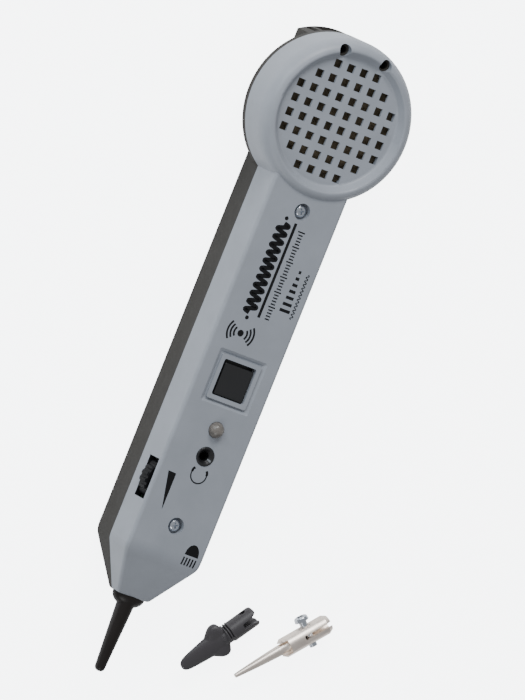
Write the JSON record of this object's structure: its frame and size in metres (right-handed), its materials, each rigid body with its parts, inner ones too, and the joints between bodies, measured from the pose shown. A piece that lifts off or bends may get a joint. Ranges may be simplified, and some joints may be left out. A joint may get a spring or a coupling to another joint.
{
  "type": "tone probe kit",
  "caption": "Hand-held tone tracing probe with round speaker head, square button, thumbwheel and black tip, with loose slip-over needle and spatula tips.",
  "frame": {"origin": "on the flat back, middle of its width, 70 mm below the round head's centre", "axes": "+Z out of the face, +Y towards the round head, +X to the right seen from the face; the kit lies on its back"},
  "size_m": [0.1191, 0.2492, 0.0311],
  "materials": {
    "light_shell": "fine moulded texture, light bluish grey",
    "dark_shell": "fine moulded texture, dark brownish grey",
    "zinc_steel": "bright zinc plate",
    "speaker_steel": "black painted pressing",
    "speaker_paper": "treated paper cone, brown",
    "magnet_ferrite": "ceramic magnet",
    "board_green": "solder mask",
    "black_plastic": "moulded",
    "capacitor_can": "sleeved can",
    "button_black": "satin",
    "steel_plate": "tinned",
    "wheel_black": "knurled",
    "jack_black": "smooth",
    "clear_lens": "clear moulded epoxy",
    "battery_case": "printed steel jacket, plain",
    "lead_red": "insulated wire",
    "nickel_plate": "satin nickel plate",
    "tip_black": "smooth moulded",
    "brass_rod": "drawn rod",
    "spatula_black": "moulded, slightly ribbed"
  },
  "bodies": {
    "probe": {"front_shell": "light_shell", "rear_shell": "dark_shell", "housing_screws": "zinc_steel", "speaker_frame": "speaker_steel", "speaker_cone": "speaker_paper", "speaker_magnet": "magnet_ferrite", "circuit_board": "board_green", "board_chips": "black_plastic", "board_capacitors": "capacitor_can", "switch_body": "black_plastic", "volume_pot": "steel_plate", "headphone_jack": "jack_black", "indicator_led": "clear_lens", "led_leads": "steel_plate", "work_light": "clear_lens", "battery": "battery_case", "battery_snap": "black_plastic", "battery_leads": "lead_red", "speaker_leads": "lead_red", "lug_block": "black_plastic", "test_set_lugs": "nickel_plate", "probe_tip": "tip_black", "tip_antenna": "brass_rod", "antenna_lead": "lead_red"},
    "door": {"battery_door": "dark_shell"},
    "button": {"power_button": "button_black"},
    "wheel": {"volume_wheel": "wheel_black"},
    "needle_tip": {"clamp_sleeve": "nickel_plate", "needle_cone": "nickel_plate"},
    "clamp": {"clamp_screw": "zinc_steel"},
    "spatula": {"spatula_tip": "spatula_black"}
  },
  "joints": [
    {"name": "button_press", "type": "slide", "parent": "probe", "child": "button", "axis": [0, 0, -1], "range_m": [0, 0.001], "stiffness_N_per_m": 1500, "springref_m": -0.001},
    {"name": "volume_turn", "type": "hinge", "parent": "probe", "child": "wheel", "pos_m": [-0.0085, -0.0754, 0.0227], "axis": [0, 0, 1], "range_deg": [-140, 140]},
    {"name": "battery_door_open", "type": "hinge", "parent": "probe", "child": "door", "pos_m": [0, -0.0192, 0], "axis": [-1, 0, 0], "range_deg": [0, 60]},
    {"name": "needle_tip_lift", "type": "slide", "parent": "probe", "child": "needle_tip", "axis": [0, 0, 1], "range_m": [0, 0.06]},
    {"name": "clamp_screw_turn", "type": "hinge", "parent": "needle_tip", "child": "clamp", "pos_m": [0.08049, -0.11071, 0.0038], "axis": [-0.7254, 0.6703, -0.1564], "range_deg": [0, 720]},
    {"name": "spatula_tip_lift", "type": "slide", "parent": "probe", "child": "spatula", "axis": [0, 0, 1], "range_m": [0, 0.06]}
  ]
}
